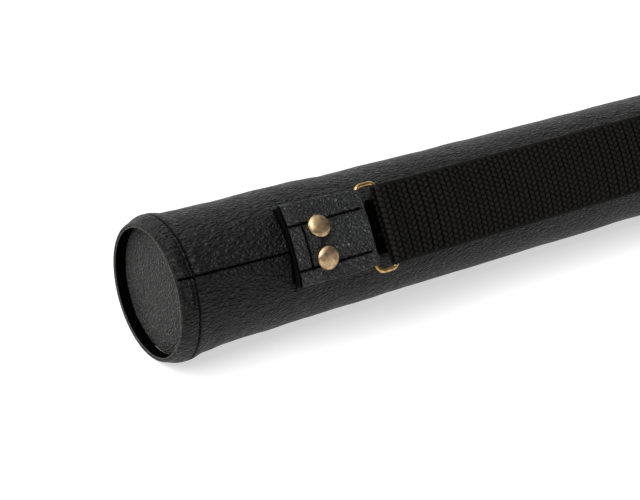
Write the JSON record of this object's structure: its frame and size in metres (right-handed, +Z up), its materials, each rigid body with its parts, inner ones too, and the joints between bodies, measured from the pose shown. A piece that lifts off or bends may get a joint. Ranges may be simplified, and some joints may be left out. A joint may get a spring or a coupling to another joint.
{
  "type": "hard tube cue case",
  "caption": "Round hard case for a two-piece billiard cue: leatherette-covered tube, lift-off lid, riveted strap tabs, wire rings and a webbing carrying strap.",
  "frame": {"origin": "middle of the case's length, on the line it rests on: centre of the body cover's bottom flat", "axes": "+X along the tube from the closed base to the lid, +Z up as the case lies on a surface, -Y the side the strap is on"},
  "size_m": [0.83, 0.0724, 0.0667],
  "materials": {
    "leatherette": "black grained leatherette, satin",
    "tab_leather": "black coarse-grained leatherette, satin, folded double",
    "disc_leatherette": "black fine-grained leatherette, semi matt",
    "webbing": "black woven webbing, matt",
    "ring_brass": "bright antique brass wire",
    "rivet_bronze": "antique bronze, brushed",
    "tube_plastic": "extruded black plastic tube",
    "collar_plastic": "smooth black plastic",
    "board": "pressed greyboard",
    "lining_felt": "black napped lining",
    "pad_foam": "closed-cell foam"
  },
  "bodies": {
    "root": {"base_board": "board", "base_disc_cover": "disc_leatherette", "base_pad": "pad_foam", "base_rivet_back_lower": "rivet_bronze", "base_rivet_back_upper": "rivet_bronze", "base_rivet_cap_lower": "rivet_bronze", "base_rivet_cap_upper": "rivet_bronze", "base_tab": "tab_leather", "base_tab_patch": "leatherette", "body_cover": "leatherette", "body_lining": "lining_felt", "body_tube": "tube_plastic", "mouth_collar": "collar_plastic", "mouth_rivet_back_lower": "rivet_bronze", "mouth_rivet_back_upper": "rivet_bronze", "mouth_rivet_cap_lower": "rivet_bronze", "mouth_rivet_cap_upper": "rivet_bronze", "mouth_tab": "tab_leather", "mouth_tab_patch": "leatherette", "strap": "webbing"},
    "lid": {"lid_board": "board", "lid_cover": "leatherette", "lid_disc_cover": "disc_leatherette", "lid_lining": "lining_felt", "lid_pad": "pad_foam", "lid_tube": "tube_plastic"},
    "base_ring_body": {"base_ring": "ring_brass", "base_strap_loop": "webbing"},
    "mouth_ring_body": {"mouth_ring": "ring_brass", "mouth_strap_loop": "webbing"}
  },
  "joints": [
    {"name": "lid_slide", "type": "slide", "parent": "root", "child": "lid", "axis": [1, 0, 0], "range_m": [0, 0.12]},
    {"name": "base_ring_swing", "type": "hinge", "parent": "root", "child": "base_ring_body", "pos_m": [-0.3166, -0.02979, 0.0482], "axis": [0, -0.5, -0.866], "range_deg": [0, 75]},
    {"name": "mouth_ring_swing", "type": "hinge", "parent": "root", "child": "mouth_ring_body", "pos_m": [0.205, -0.02979, 0.0482], "axis": [0, 0.5, 0.866], "range_deg": [0, 75]}
  ]
}
